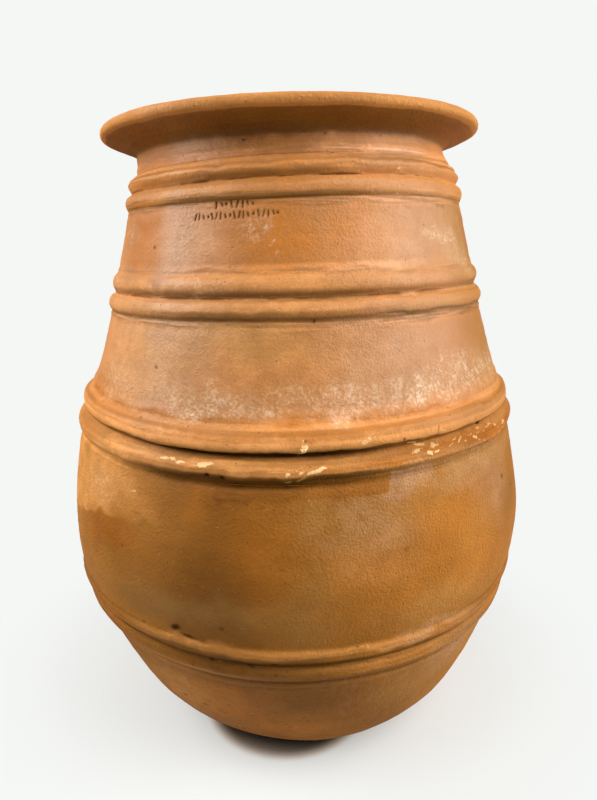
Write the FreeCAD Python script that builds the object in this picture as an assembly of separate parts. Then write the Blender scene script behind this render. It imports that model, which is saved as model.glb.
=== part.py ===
"""Large hand-built terracotta storage jar: 900 mm tall, wide belly, flared rim, four bands of twin coils.

A jar of this size is too tall to throw in one go.  It is built up in stages: a floor slab, then
rings of wall, each set on the leather-hard ring below in a V-shaped groove and glued with a bed
of wet clay (the lute).  A pair of clay coils is pressed over each outside joint, bedded in a
shallow scored seat, and the flared rim is the last ring.  Every ring, lute bed and coil is its
own solid.

Units are millimetres.  The origin is the centre of the foot, on the ground, with +Z up.
"""

import FreeCAD
import Part
import math
import os

# ---------------------------------------------------------------- driving dimensions
HEIGHT = 900.0            # ground to the top of the lip
WALL = 20.0               # wall thickness, square to the surface
FLOOR = 28.0              # floor slab thickness
FOOT_RADIUS = 207.0       # flat face the jar rests on
FOOT_EDGE = 12.0          # rounding between the flat foot and the wall
FOOT_SLOPE = 46.0         # degrees above the horizontal at which the wall leaves the foot
FLOOR_EDGE_RADIUS = 182.0  # where the flat inside floor starts to turn up into the wall

BELLY_RADIUS = 359.3      # widest point
BELLY_HEIGHT = 322.0
WAIST_RADIUS = 226.3      # narrowest outside point, just under the rim
WAIST_HEIGHT = 860.0

MOUTH_RADIUS = 208.0      # cylindrical land inside the neck
MOUTH_LAND_BOTTOM = 835.0
NECK_TAPER_START = 800.0  # above this the inside runs smoothly into the mouth land
LIP_RADIUS = 6.5          # half the thickness of the rounded lip
RIM_RADIUS = 273.8        # outside of the lip
RIM_RISE = 22.8           # degrees above the horizontal at which the rim flares
THROAT_RADIUS = 18.0      # rounding from the mouth land to the top of the rim
UNDER_RIM_RADIUS = 13.5   # rounding from the waist to the underside of the rim

# Outside of the plain wall between the foot and the waist, as (radius, height).
WALL_STATIONS = [
    (250.0, 40.0),
    (290.5, 101.0),
    (326.3, 182.0),
    (346.0, 241.0),
    (356.0, 279.0),
    (BELLY_RADIUS, BELLY_HEIGHT),
    (352.3, 405.0),
    (338.3, 474.0),
    (318.5, 540.0),
    (283.5, 650.0),
    (268.5, 706.0),
    (247.8, 788.0),
    (241.6, 812.0),
    (230.3, 838.0),
]

# Joints between the rings of wall, from the ground up: (name of the lute bed, height).
JOINTS = [
    ("base_lute", 46.0),
    ("foot_lute", 244.0),
    ("belly_lute", 508.0),
    ("shoulder_lute", 678.0),
    ("neck_lute", 813.0),
    ("rim_lute", 858.0),
]
RINGS = ["base_slab", "foot_wall", "belly_wall", "shoulder_wall", "neck_wall", "collar_wall", "flared_rim"]
LUTE = 1.2                # thickness of a lute bed
TONGUE_WIDTH = 10.0       # V-shaped tongue under each ring, and its groove in the ring below
TONGUE_DEPTH = 6.0

# Coils: (name, bottom height, crest height, top height, how far the crest stands off the wall).
COILS = [
    ("foot_coil_lower", 212.0, 231.0, 243.2, 6.4),
    ("foot_coil_upper", 244.8, 258.0, 270.0, 5.6),
    ("belly_coil_lower", 474.0, 492.0, 507.2, 8.2),
    ("belly_coil_upper", 508.8, 520.0, 540.0, 8.8),
    ("shoulder_coil_lower", 650.0, 664.5, 677.2, 6.6),
    ("shoulder_coil_upper", 678.8, 691.5, 706.0, 6.6),
    ("neck_coil_lower", 789.0, 801.0, 812.2, 6.6),
    ("neck_coil_upper", 813.8, 826.0, 837.0, 9.1),
]
SEAT_DEPTH = 3.0          # how deep a coil is bedded in the wall
SEAT_INSET = 2.0          # how far the bottom of the seat stops short of the coil's edges

OUTSIDE = 600.0           # a radius clear of the whole jar
AXIS = FreeCAD.Vector(0, 0, 1)
ORIGIN = FreeCAD.Vector(0, 0, 0)


def point(radius, height):
    """A point of the cross-section, which lies in the XZ plane."""
    return FreeCAD.Vector(radius, 0, height)


def heading(degrees):
    """Unit direction in the cross-section, degrees above the outward horizontal."""
    angle = math.radians(degrees)
    return FreeCAD.Vector(math.cos(angle), 0, math.sin(angle))


def line(a, b):
    return Part.LineSegment(a, b).toShape()


def arc(centre, radius, start, end):
    """Arc about centre between two headings in degrees, through the heading midway."""
    spots = [centre + heading(a) * radius for a in (start, (start + end) / 2, end)]
    return Part.Arc(*spots).toShape()


def face(edges):
    return Part.Face(Part.Wire(edges))


def polygon(points):
    return Part.Face(Part.makePolygon(points + points[:1]))


# ---------------------------------------------------------------- outline of the whole wall
def foot_edge():
    """Rounding from the flat foot into the wall: (edge, its upper end)."""
    centre = point(FOOT_RADIUS, FOOT_EDGE)
    edge = arc(centre, FOOT_EDGE, -90, FOOT_SLOPE - 90)
    return edge, centre + heading(FOOT_SLOPE - 90) * FOOT_EDGE


def smooth_curve(spots, start_rise):
    """Curve through the spots that starts at start_rise degrees and ends straight up.

    Scale=False keeps the end tangents at unit length; scaled ones fold the curve back on itself.
    """
    curve = Part.BSplineCurve()
    curve.interpolate(Points=spots, InitialTangent=heading(start_rise), FinalTangent=AXIS, Scale=False)
    return curve


def outside_curve():
    """Smooth plain wall from the foot rounding to the waist, with no coils."""
    start = foot_edge()[1]
    spots = [start] + [point(r, h) for r, h in WALL_STATIONS] + [point(WAIST_RADIUS, WAIST_HEIGHT)]
    return smooth_curve(spots, FOOT_SLOPE)


def inside_curve(outside):
    """Inside of the wall: flat floor edge, then the outside moved in by WALL, up to the mouth land."""
    spots = [point(FLOOR_EDGE_RADIUS, FLOOR)]
    for radius, height in WALL_STATIONS:
        if height > NECK_TAPER_START:
            break
        here = point(radius, height)
        along = outside.tangent(outside.parameter(here))[0]
        inward = FreeCAD.Vector(-along.z, 0, along.x)
        spots.append(here + inward * WALL)
    spots.append(point(MOUTH_RADIUS, MOUTH_LAND_BOTTOM))
    return smooth_curve(spots, 0)


def fillet_ends(corner, reach, rise):
    """Ends of a rounding at corner, between a vertical line below it and a line rising outward."""
    return corner - AXIS * reach, corner + heading(rise) * reach


def rim_edges():
    """Underside, lip, top and throat of the flared rim, from the waist round to the mouth land."""
    lip = point(RIM_RADIUS - LIP_RADIUS, HEIGHT - LIP_RADIUS)
    lip_under = lip + heading(RIM_RISE - 90) * LIP_RADIUS
    lip_over = lip + heading(RIM_RISE + 90) * LIP_RADIUS
    slope = math.tan(math.radians(RIM_RISE))
    half_turn = math.tan(math.radians((90 - RIM_RISE) / 2))

    under_corner = point(WAIST_RADIUS, lip_under.z - (lip_under.x - WAIST_RADIUS) * slope)
    waist_end, under_end = fillet_ends(under_corner, UNDER_RIM_RADIUS * half_turn, RIM_RISE)
    under_centre = waist_end + heading(0) * UNDER_RIM_RADIUS

    throat_corner = point(MOUTH_RADIUS, lip_over.z - (lip_over.x - MOUTH_RADIUS) * slope)
    land_end, over_end = fillet_ends(throat_corner, THROAT_RADIUS * half_turn, RIM_RISE)
    throat_centre = land_end + heading(0) * THROAT_RADIUS

    return [
        line(point(WAIST_RADIUS, WAIST_HEIGHT), waist_end),
        arc(under_centre, UNDER_RIM_RADIUS, 180, RIM_RISE + 90),
        line(under_end, lip_under),
        arc(lip, LIP_RADIUS, RIM_RISE - 90, RIM_RISE + 90),
        line(lip_over, over_end),
        arc(throat_centre, THROAT_RADIUS, RIM_RISE + 90, 180),
        line(land_end, point(MOUTH_RADIUS, MOUTH_LAND_BOTTOM)),
    ]


def jar_section(outside):
    """Cross-section of the whole wall, from the axis outward, with no coils."""
    edge, _ = foot_edge()
    inside = inside_curve(outside)
    return face([
        line(ORIGIN, point(FOOT_RADIUS, 0)),
        edge,
        outside.toShape(),
        *rim_edges(),
        inside.toShape(),
        line(point(FLOOR_EDGE_RADIUS, FLOOR), point(0, FLOOR)),
        line(point(0, FLOOR), ORIGIN),
    ])


# ---------------------------------------------------------------- joints and coils
def radius_at(curve, height):
    """Radius of a curve of the cross-section at one height."""
    level = Part.LineSegment(point(MOUTH_RADIUS / 2, height), point(OUTSIDE, height))
    return curve.intersect(level)[0].X


def joint_line(outside, height, shift):
    """Step line of a joint, with its V-shaped tongue at mid-wall, moved by shift along Z."""
    angle = outside.tangent(outside.parameter(point(radius_at(outside, height), height)))[0]
    middle = radius_at(outside, height) - WALL / 2 / abs(angle.z)
    level = height + shift
    return [
        point(0, level),
        point(middle - TONGUE_WIDTH / 2, level),
        point(middle, level - TONGUE_DEPTH),
        point(middle + TONGUE_WIDTH / 2, level),
        point(OUTSIDE, level),
    ]


def between(lower, upper):
    """Area between two joint lines."""
    return polygon(lower + upper[::-1])


def coil_section(outside, bottom, crest, top, stand_off):
    """Cross-section of one coil: a rounded crest over a seat let into the wall."""
    low = point(radius_at(outside, bottom), bottom)
    high = point(radius_at(outside, top), top)
    along = (high - low).normalize()
    outward = FreeCAD.Vector(along.z, 0, -along.x)
    peak = point(radius_at(outside, crest), crest) + outward * stand_off
    seat_low = low + along * SEAT_INSET - outward * SEAT_DEPTH
    seat_high = high - along * SEAT_INSET - outward * SEAT_DEPTH
    return face([
        line(seat_low, low),
        Part.Arc(low, peak, high).toShape(),
        line(high, seat_high),
        line(seat_high, seat_low),
    ])


def turned(section):
    """Solid made by turning a cross-section once round the axis."""
    solids = [f.revolve(ORIGIN, AXIS, 360) for f in section.Faces]
    return solids[0] if len(solids) == 1 else Part.makeCompound(solids)


def sections():
    """Every piece's cross-section, by name."""
    outside = outside_curve()
    jar = jar_section(outside)
    coils = {name: coil_section(outside, *sizes) for name, *sizes in COILS}
    foot = [point(0, -FOOT_EDGE), point(OUTSIDE, -FOOT_EDGE)]
    above = [point(0, HEIGHT + FOOT_EDGE), point(OUTSIDE, HEIGHT + FOOT_EDGE)]

    lower_lines = [joint_line(outside, h, -LUTE / 2) for _, h in JOINTS]
    upper_lines = [joint_line(outside, h, LUTE / 2) for _, h in JOINTS]
    pieces = {}
    for name, start, end in zip(RINGS, [foot] + upper_lines, lower_lines + [above]):
        ring = jar.common(between(start, end))
        for coil in coils.values():
            ring = ring.cut(coil)
        pieces[name] = ring
    for (name, _), start, end in zip(JOINTS, lower_lines, upper_lines):
        pieces[name] = jar.common(between(start, end))
    pieces.update(coils)
    return pieces


def main():
    os.makedirs("parts", exist_ok=True)
    for name, section in sections().items():
        turned(section).exportStep(os.path.join("parts", name + ".step"))


main()
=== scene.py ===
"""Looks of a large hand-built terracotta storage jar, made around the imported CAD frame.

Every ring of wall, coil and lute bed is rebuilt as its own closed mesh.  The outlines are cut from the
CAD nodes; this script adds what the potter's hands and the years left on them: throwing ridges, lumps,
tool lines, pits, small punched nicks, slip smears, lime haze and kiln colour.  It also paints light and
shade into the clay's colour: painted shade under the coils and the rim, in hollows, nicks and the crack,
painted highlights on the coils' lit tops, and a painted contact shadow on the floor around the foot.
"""

import math

import bmesh
import bpy
import numpy as np
from mathutils import Matrix, Vector


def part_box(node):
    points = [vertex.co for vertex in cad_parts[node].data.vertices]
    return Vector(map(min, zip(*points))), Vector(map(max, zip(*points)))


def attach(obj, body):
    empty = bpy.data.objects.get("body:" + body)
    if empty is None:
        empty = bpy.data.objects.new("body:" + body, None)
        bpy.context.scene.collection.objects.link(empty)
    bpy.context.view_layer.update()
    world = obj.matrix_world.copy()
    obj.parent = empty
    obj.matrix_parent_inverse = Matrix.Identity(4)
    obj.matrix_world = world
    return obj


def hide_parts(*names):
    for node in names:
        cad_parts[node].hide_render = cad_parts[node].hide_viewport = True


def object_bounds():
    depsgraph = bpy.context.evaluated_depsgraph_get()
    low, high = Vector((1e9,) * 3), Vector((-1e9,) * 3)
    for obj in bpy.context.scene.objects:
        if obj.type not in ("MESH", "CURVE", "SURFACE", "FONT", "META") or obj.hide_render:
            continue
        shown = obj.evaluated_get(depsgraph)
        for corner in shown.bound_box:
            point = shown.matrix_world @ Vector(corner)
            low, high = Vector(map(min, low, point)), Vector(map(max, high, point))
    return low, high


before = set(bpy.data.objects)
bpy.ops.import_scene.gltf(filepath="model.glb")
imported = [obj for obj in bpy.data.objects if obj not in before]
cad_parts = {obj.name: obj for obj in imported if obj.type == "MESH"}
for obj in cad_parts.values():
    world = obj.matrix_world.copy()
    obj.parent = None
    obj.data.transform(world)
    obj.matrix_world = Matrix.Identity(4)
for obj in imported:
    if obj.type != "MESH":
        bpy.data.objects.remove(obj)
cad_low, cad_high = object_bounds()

MM = 0.001

# -------- what the frame says
RINGS = ["base_slab", "foot_wall", "belly_wall", "shoulder_wall", "neck_wall", "collar_wall", "flared_rim"]
LUTES = ["base_lute", "foot_lute", "belly_lute", "shoulder_lute", "neck_lute", "rim_lute"]
COILS = [part + side for part in ("foot_coil", "belly_coil", "shoulder_coil", "neck_coil")
         for side in ("_lower", "_upper")]
CUT_HEADING = math.radians(7.3)   # of the half plane that cuts the outlines; misses the mesh's own corners
TOUCHING = 0.01 * MM              # nothing in the CAD outlines is this small
SKIN_STEP = 0.5 * MM              # between the points of the finished skin and lining lines


def outline(node):
    """Outline of a turned CAD node as anticlockwise (radius, height) rows; open where it meets the axis."""
    mesh = bmesh.new()
    mesh.from_mesh(node.data)
    bmesh.ops.remove_doubles(mesh, verts=mesh.verts, dist=TOUCHING / 10)
    facing = Vector((math.cos(CUT_HEADING), math.sin(CUT_HEADING), 0))
    across = Vector((-facing.y, facing.x, 0))
    whole = mesh.verts[:] + mesh.edges[:] + mesh.faces[:]
    cut = bmesh.ops.bisect_plane(mesh, geom=whole, plane_co=(0, 0, 0), plane_no=across)
    spots, links = {}, {}
    for edge in cut["geom_cut"]:
        if not isinstance(edge, bmesh.types.BMEdge):
            continue
        a, b = edge.verts
        radii = [v.co.dot(facing) for v in (a, b)]
        if max(radii) <= 0:
            continue
        for v, radius, other_radius, other in ((a, *radii, b), (b, *radii[::-1], a)):
            height = v.co.z
            if radius < 0:
                height += (other.co.z - height) * radius / (radius - other_radius)
                radius = 0
            spots[v] = (radius, height)
            links.setdefault(v, []).append(other)
    ends = [v for v in links if len(links[v]) == 1]
    here = ends[0] if ends else next(iter(links))
    walk, previous = [here], None
    while True:
        onward = [v for v in links[here] if v is not previous]
        if not onward or onward[0] is walk[0]:
            break
        previous, here = here, onward[0]
        walk.append(here)
    rows = np.array([spots[v] for v in walk])
    mesh.free()
    r, z = rows.T
    area = np.sum(r * np.roll(z, -1) - np.roll(r, -1) * z)
    return rows if area > 0 else rows[::-1]


outlines = {name: outline(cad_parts[name]) for name in RINGS + LUTES + COILS}
segments = np.concatenate([
    np.stack([rows[:-1], rows[1:]] if name == "base_slab" else [rows, np.roll(rows, -1, axis=0)], axis=1)
    for name, rows in outlines.items()
])


def crossings(height):
    """Radii at which the outlines cross one height, sorted."""
    below, above = segments[:, :, 1].min(axis=1), segments[:, :, 1].max(axis=1)
    hit = segments[(below <= height) & (height <= above) & (above > below)]
    share = (height - hit[:, 0, 1]) / (hit[:, 1, 1] - hit[:, 0, 1])
    return np.sort(hit[:, 0, 0] + share * (hit[:, 1, 0] - hit[:, 0, 0]))


def at_length(line, line_at, lengths):
    """Points of a line at lengths along it."""
    return np.stack([np.interp(lengths, line_at, line[:, i]) for i in (0, 1)], axis=1)


def resampled(rows):
    """The same line with a point every SKIN_STEP along it, and the length at each."""
    along = np.concatenate([[0], np.cumsum(np.hypot(*np.diff(rows, axis=0).T))])
    keep = np.concatenate([[True], np.diff(along) > 0])
    rows, along = rows[keep], along[keep]
    at = np.linspace(0, along[-1], max(2, int(round(along[-1] / SKIN_STEP)) + 1))
    return at_length(rows, along, at), at


# the skin runs from the foot up the outside and over the rim into the mouth, the lining on to the floor
RIM_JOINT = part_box("rim_lute")[1].z
WALL_LEVELS = 3000        # heights probed on the outside wall, closest together at the foot
LINING_LEVELS = 2500
rim_rows = outlines["flared_rim"]
rim_level = np.abs(rim_rows[:, 1] - RIM_JOINT) < TOUCHING
rim_start = np.flatnonzero(rim_level & (rim_rows[:, 0] == rim_rows[rim_level, 0].max()))[0]
rim_rows = np.roll(rim_rows, -rim_start, axis=0)
rim_end = np.flatnonzero(np.abs(rim_rows[1:, 1] - RIM_JOINT) < TOUCHING)[0] + 2
outer_levels = np.linspace(0, math.sqrt(RIM_JOINT), WALL_LEVELS) ** 2
outer_wall = np.array([(crossings(h)[-1], h) for h in outer_levels[1:]])
slab_rows = outlines["base_slab"]
foot_radius = slab_rows[slab_rows[:, 1] < TOUCHING, 0].max()
skin_raw, skin_at = resampled(np.concatenate([[(foot_radius, 0)], outer_wall, rim_rows[:rim_end]]))

FLOOR = slab_rows[slab_rows[:, 0] < 1 * MM, 1].max()
inner_levels = FLOOR + (RIM_JOINT - FLOOR) * np.linspace(1, 0, LINING_LEVELS)[:-1] ** 2
lining, lining_at = resampled(np.array([(crossings(h)[0], h) for h in inner_levels]))

wall_length = float(skin_at[np.argmin(np.hypot(*(skin_raw - outer_wall[-1]).T))])
wall_end = int(np.searchsorted(skin_at, wall_length))
wall_heights, wall_lengths = skin_raw[:wall_end, 1], skin_at[:wall_end]


def skin_length(height):
    """Length along the skin from the foot to a height of the outside wall."""
    return float(np.interp(height, wall_heights, wall_lengths))


coil_span = {name: [skin_length(end.z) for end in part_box(name)] for name in COILS}


def blurred(line, width):
    """The line's points averaged along it with a bell of the given width."""
    reach = int(4 * width / SKIN_STEP)
    bell = np.exp(-0.5 * (np.arange(-reach, reach + 1) * SKIN_STEP / width) ** 2)
    bell /= bell.sum()
    columns = []
    for values in line.T:
        before = 2 * values[0] - values[reach:0:-1]
        after = 2 * values[-1] - values[-2:-reach - 2:-1]
        columns.append(np.convolve(np.concatenate([before, values, after]), bell, "valid"))
    return np.stack(columns, axis=1)


def normals_of(line):
    """Unit normals to the right of a line's heading: outward on the skin, into the jar on the lining."""
    step = np.gradient(line, axis=0)
    step /= np.hypot(*step.T)[:, None]
    return np.stack([step[:, 1], -step[:, 0]], axis=1)


CRISP = 0.9 * MM          # rounding of a crease left sharp
SOFT = 3.2 * MM           # rounding of a crease wiped with a wet finger
WIPED_REACH = 7 * MM      # how far beside the top of a pair of coils the finger reached
skin = blurred(skin_raw, CRISP)
wiped = blurred(skin_raw, SOFT)
for name in COILS:
    if name.endswith("upper"):
        near_top = np.exp(-0.5 * ((skin_at - coil_span[name][1]) / WIPED_REACH) ** 2)[:, None]
        skin = skin + near_top * (wiped - skin)
skin_normal = normals_of(blurred(skin, 1.5 * MM))
lining_normal = normals_of(lining)

# -------- the map of the skin
MAP_STEP = 1 * MM
MAP_TURN = 0.25           # degrees of azimuth between the map's columns
map_at = np.arange(0, skin_at[-1] + MAP_STEP, MAP_STEP)
map_azimuth = np.arange(-180, 180, MAP_TURN)
map_radius = np.interp(map_at, skin_at, skin[:, 0])
map_tall = (np.interp(map_at, skin_at, skin[:, 1]) / MM)[:, None]
MAP_SHAPE = (len(map_at), len(map_azimuth))
WHOLE_MAP = slice(0, len(map_at))
chance = np.random.default_rng(20260)


def smooth(low, high, values):
    """0 below low, 1 above high, eased between."""
    share = np.clip((values - low) / (high - low), 0, 1)
    return share * share * (3 - 2 * share)


def through(stations, values):
    """Eased line through {place: amount} stations, level before the first and after the last."""
    places, amounts = np.array(list(stations.items()), float).T
    after = np.clip(np.searchsorted(places, values), 1, len(places) - 1)
    share = smooth(places[after - 1], places[after], values)
    return amounts[after - 1] + (amounts[after] - amounts[after - 1]) * share


def swing(stations):
    """Eased strength at every azimuth of the map, from {azimuth: strength} stations."""
    return through(stations, map_azimuth)[None, :]


def grain(across, along, seed):
    """Smooth random field over the map, about -2 to 2, with lumps of the given sizes in metres."""
    rows, columns = MAP_SHAPE
    rows += 256           # spare rows, so that the foot doesn't repeat at the mouth
    noise = np.fft.rfft2(np.random.default_rng(seed).standard_normal((rows, columns)))
    per_column = 2 * math.pi * float(np.mean(map_radius)) / columns
    up = np.fft.fftfreq(rows)[:, None] * 2 * math.pi / MAP_STEP
    about = np.fft.rfftfreq(columns)[None, :] * 2 * math.pi / per_column
    noise *= np.exp(-0.5 * ((up * along / 2.5) ** 2 + (about * across / 2.5) ** 2))
    noise[0, 0] = 0
    field = np.fft.irfft2(noise, s=(rows, columns))[:MAP_SHAPE[0]]
    return field / field.std()


def broken(low, high, across, along, seed):
    """Field of ragged flecks: 1 where the grain is above high, 0 below low."""
    return smooth(low, high, grain(across, along, seed))


# -------- the wobble of a hand-built jar
# height in mm: how far the clay at that height climbs at each of these headings, in mm
HEADINGS = (-180, -110, -75, -50, -30, -10, 14, 36, 56, 80, 120)
CLIMB = {
    0: (0, 0, 0, 0, 0, 0, 0, 0, 0, 0, 0),
    150: (0, 0, 0, 0, -0.5, -1.5, -1, -1, 0, 0, 0),
    244: (0, 0, 1, 1, -1.2, -4, -2.4, -3.2, -1.5, 0, 0),
    380: (0, 1, 1.5, 0, -1, -2, -1.5, 0, 1, 1, 0),
    508: (0, 3, 5, 3, -2.4, -3.6, -1.2, 1.8, 4.2, 3, 2),
    600: (0, 1, 1.5, 1, -0.5, 0, 1, 2.5, 3.5, 3, 1),
    678: (0, -1, -1, -0.8, -0.2, 0.8, 1.6, 3, 4, 3, 1),
    740: (1, 0, -0.5, -0.5, 0, 1.5, 3.5, 5, 5.5, 4, 2),
    812: (1, -1, -1.2, -1.3, -0.5, 1.2, 4.4, 6.4, 6, 4.5, 2),
    866: (0, -1, -1.2, -0.8, 0, 1.5, 3.8, 5.8, 6.4, 5, 2),
    895: (-1, -2.5, -3.4, -3.6, -3.2, -2.6, -1.4, 0.4, 1.2, 1.2, 0),
}
CLIMB_EASE = 7          # degrees over which the climb turns from one heading to the next
# height in mm: shift of the ring's middle to the right, growth of its radius, and of its oval, in mm
LEAN = {
    0: 8, 60: 5.5, 120: 2.2, 190: 0.2, 250: -1.8, 300: -0.6, 360: -0.2, 470: -0.4, 520: 1,
    590: 3, 680: 2.8, 740: 3.7, 800: 2.6, 838: 2.4, 862: -2, 900: -2.6,
}
SPREAD = {
    0: 2, 80: 3, 150: 0.5, 300: 0, 360: 1, 440: 0, 540: -1.2, 580: -2.2, 640: -1.4,
    690: -1, 730: 0.8, 770: 1.2, 800: -0.8, 840: 1.2, 866: 0, 900: 0,
}
OVAL = {0: 0, 200: 0.6, 400: 0.8, 700: 0.5, 900: 0.6}
OVAL_TURN = 0.9           # radians by which the oval is turned
# the foot is worn away at the front left, where the jar does not quite touch the ground
RAISED, RAISED_HEADING, RAISED_SPREAD = 6 * MM, -42, 36


def round_line(values):
    """Values at HEADINGS spread over the map's azimuths and eased; the two ends meet at the back."""
    line = np.interp(map_azimuth, HEADINGS, values, period=360)
    turn = np.arange(len(line)) * MAP_TURN
    bell = np.exp(-0.5 * (np.minimum(turn, 360 - turn) / CLIMB_EASE) ** 2)
    return np.fft.irfft(np.fft.rfft(line) * np.fft.rfft(bell / bell.sum()), len(line))


climb_lines = np.stack([round_line(values) for values in CLIMB.values()])


def climb(tall, azimuth):
    """How far the clay at a height, in mm, and an azimuth climbs, in mm."""
    tall, azimuth = np.broadcast_arrays(np.asarray(tall, float), np.asarray(azimuth, float))
    place = np.interp(tall, list(CLIMB), np.arange(len(CLIMB)))
    below = np.minimum(place.astype(int), len(CLIMB) - 2)
    turn = (azimuth + 180) / MAP_TURN
    left = np.floor(turn).astype(int)
    part = turn - left
    left, right = left % MAP_SHAPE[1], (left + 1) % MAP_SHAPE[1]
    low, high = (
        climb_lines[row, left] * (1 - part) + climb_lines[row, right] * part for row in (below, below + 1)
    )
    return low + (high - low) * smooth(0, 1, place - below)


def warp(radius, height, azimuth):
    """Place of points given by radius, height and azimuth in degrees, in the wobbly hand-built jar."""
    turn = np.radians(azimuth)
    tall = height / MM
    grown = through(SPREAD, tall) + through(OVAL, tall) * np.cos(2 * turn + OVAL_TURN)
    radius = radius + grown * MM * smooth(0, 0.15, radius)
    x = radius * np.sin(turn) + through(LEAN, tall) * MM
    y = -radius * np.cos(turn)
    z = height + climb(tall, azimuth) * MM
    lifted = np.exp(-(((azimuth - RAISED_HEADING + 180) % 360 - 180) / RAISED_SPREAD) ** 2)
    z = z + RAISED * lifted * smooth(0.03, 0.09, radius) * (1 - smooth(0, 0.06, height))
    return np.stack(np.broadcast_arrays(x, y, z), axis=-1)


# -------- laying things on the map
TRACES = [
    "upper", "tan", "flush", "umber", "khaki", "pale", "haze", "slip", "soot", "red",
    "hollow", "crest", "combed", "streaky", "gloss", "shade",
]
relief = np.zeros(MAP_SHAPE)
trace = {name: np.zeros(MAP_SHAPE) for name in TRACES}
stray_across, stray_along = (
    5 * MM * grain(0.03, 0.03, seed) + 2 * MM * grain(0.008, 0.008, seed + 1) for seed in (5, 7)
)


def skin_window(height, reach):
    """Rows of the map within reach, in millimetres, of a height on the outside wall."""
    middle, reach = skin_length(height * MM), reach * MM
    return slice(max(0, int((middle - reach) / MAP_STEP)), int((middle + reach) / MAP_STEP) + 2)


def offsets(azimuth, height, rows, stray):
    """Distances across and along the skin from a spot, in millimetres, over some rows of the map."""
    turn = (map_azimuth[None, :] - azimuth + 180) % 360 - 180
    across = np.radians(turn) * map_radius[rows, None] + stray * stray_across[rows]
    level = height - climb(height, map_azimuth)
    centre = np.interp(level * MM, wall_heights, wall_lengths)
    along = map_at[rows][:, None] - centre[None, :] + stray * stray_along[rows]
    return across / MM, along / MM


def patch(azimuth, height, half_width, half_height, edge=0.4, stray=1, tilt=0):
    """(rows, mask) of a soft-edged oval; tilt is how many millimetres it climbs per millimetre across."""
    rows = skin_window(height, half_height * (1 + edge) + abs(tilt) * half_width + 40)
    across, along = offsets(azimuth, height, rows, stray)
    far = np.hypot(across / half_width, (along - tilt * across) / half_height)
    return rows, 1 - smooth(1 - edge, 1 + edge, far)


def step_up(soft, distance):
    """0 to 1 across an edge of the given softness at distance 0."""
    return smooth(-soft / 2, soft / 2, distance)


def block(left, right, low, high, soft=(2, 2, 2, 2), stray=0.3):
    """(rows, mask) of a rectangle; soft is the width of its left, right, low and high edge."""
    middle = (left + right) / 2
    rows = skin_window((low + high) / 2, (high - low) / 2 + max(soft) + 60)
    across, above_low = offsets(middle, low, rows, stray)
    above_high = offsets(middle, high, rows, stray)[1]
    half = np.radians((right - left) / 2) * map_radius[rows, None] / MM
    sides = step_up(soft[0], across + half) * step_up(soft[1], half - across)
    return rows, sides * step_up(soft[2], above_low) * step_up(soft[3], -above_high)


def belt(low, high, soft_low, soft_high, strength):
    """(rows, mask) of a band right round that follows the clay, with {azimuth: strength}."""
    if high > RIM_JOINT / MM:
        ends = [(wall_length - RIM_JOINT) / MM + level for level in (low, high)]
    else:
        ends = [skin_length(level * MM) / MM for level in (low, high)]
    rows = slice(max(0, int(ends[0] - soft_low - 15)), int(ends[1] + soft_high + 15))
    place = map_at[rows][:, None] / MM + 0.12 * stray_along[rows] / MM
    return rows, step_up(soft_low, place - ends[0]) * step_up(soft_high, ends[1] - place) * swing(strength)


def lay(label, amount, rows, mask):
    """Lays a mask on a trace; where masks overlap the painted light and tone adds up, and of anything else
    the stronger shows.
    """
    join = np.add if label == "shade" else np.maximum
    trace[label][rows] = join(trace[label][rows], amount * mask)


def stain(label, amount, *spot, **shape):
    """Lays a patch on a trace."""
    lay(label, amount, *patch(*spot, **shape))


def press(depth, *spot, **shape):
    """Presses a patch into the clay, depth in millimetres; negative builds it up."""
    rows, mask = patch(*spot, **shape)
    relief[rows] -= depth * MM * mask


def scratch(azimuth, height, length, slope, depth, label, amount, width=0.9):
    """Thin mark, length mm long, climbing slope mm per mm across; a slope over 5 stands upright."""
    rows = skin_window(height, length + 40)
    across, along = offsets(azimuth, height, rows, 0.15)
    angle = math.atan(slope)
    ahead = across * math.cos(angle) + along * math.sin(angle)
    aside = along * math.cos(angle) - across * math.sin(angle)
    mask = (1 - smooth(length * 0.35, length * 0.5, np.abs(ahead))) * np.exp(-(aside / width) ** 2)
    relief[rows] -= depth * MM * mask
    lay(label, amount, rows, mask)


# -------- hand-made surface
for amount, across, along, seed in [
    (0.45, 0.16, 0.09, 1), (0.16, 0.05, 0.03, 2), (0.09, 0.3, 0.009, 3), (0.05, 0.22, 0.0045, 4),
    (0.07, 0.01, 0.007, 9),
]:
    relief += amount * MM * grain(across, along, seed)

# the coils swell and thin as they were rolled, and lie a little unevenly
for number, name in enumerate(COILS):
    start, end = coil_span[name]
    share = np.clip((map_at - start) / (end - start), 0, 1)[:, None]
    swell = np.random.default_rng(90 + number).standard_normal(3)
    turns = np.radians(map_azimuth)[None, :]
    wave = sum(amount * np.sin((2 + order * 3) * turns + amount * 5) for order, amount in enumerate(swell))
    relief += 0.45 * MM * wave * np.sin(math.pi * share) ** 2


def bead(amount, height, spread, strength=1):
    """A bead right round the jar, amount in mm (plus is out) at a height in mm, fading over spread mm."""
    away = (map_at[:, None] + 0.25 * stray_along - skin_length(height * MM)) / MM
    return amount * MM * np.exp(-(away / spread) ** 2) * strength


# the coils were thumbed and smoothed, not left round
for shape in [
    (-2.6, 833, 4.5), (1.8, 844, 5.5), (1, 824.5, 3), (1.2, 813.5, 2.4), (0.6, 788, 3.5),
    (-1.2, 675.5, 3), (0.8, 678.4, 1.6), (1, 648, 4), (-1, 653, 3), (1.2, 709, 4),
    (-3.2, 536, 6), (1.6, 546, 5), (2.4, 513.5, 3.6), (-3, 478, 5), (0.9, 494, 4),
    (-1.6, 254, 5), (1.4, 244, 2.6), (-1.2, 239, 2.6), (2, 208, 5), (0.6, 202, 4), (0.8, 266, 2.6),
]:
    relief += bead(*shape)
relief += bead(-2.4, 504.5, 3, swing({-50: 0, -25: 1, 8: 1, 34: 0}))

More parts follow.
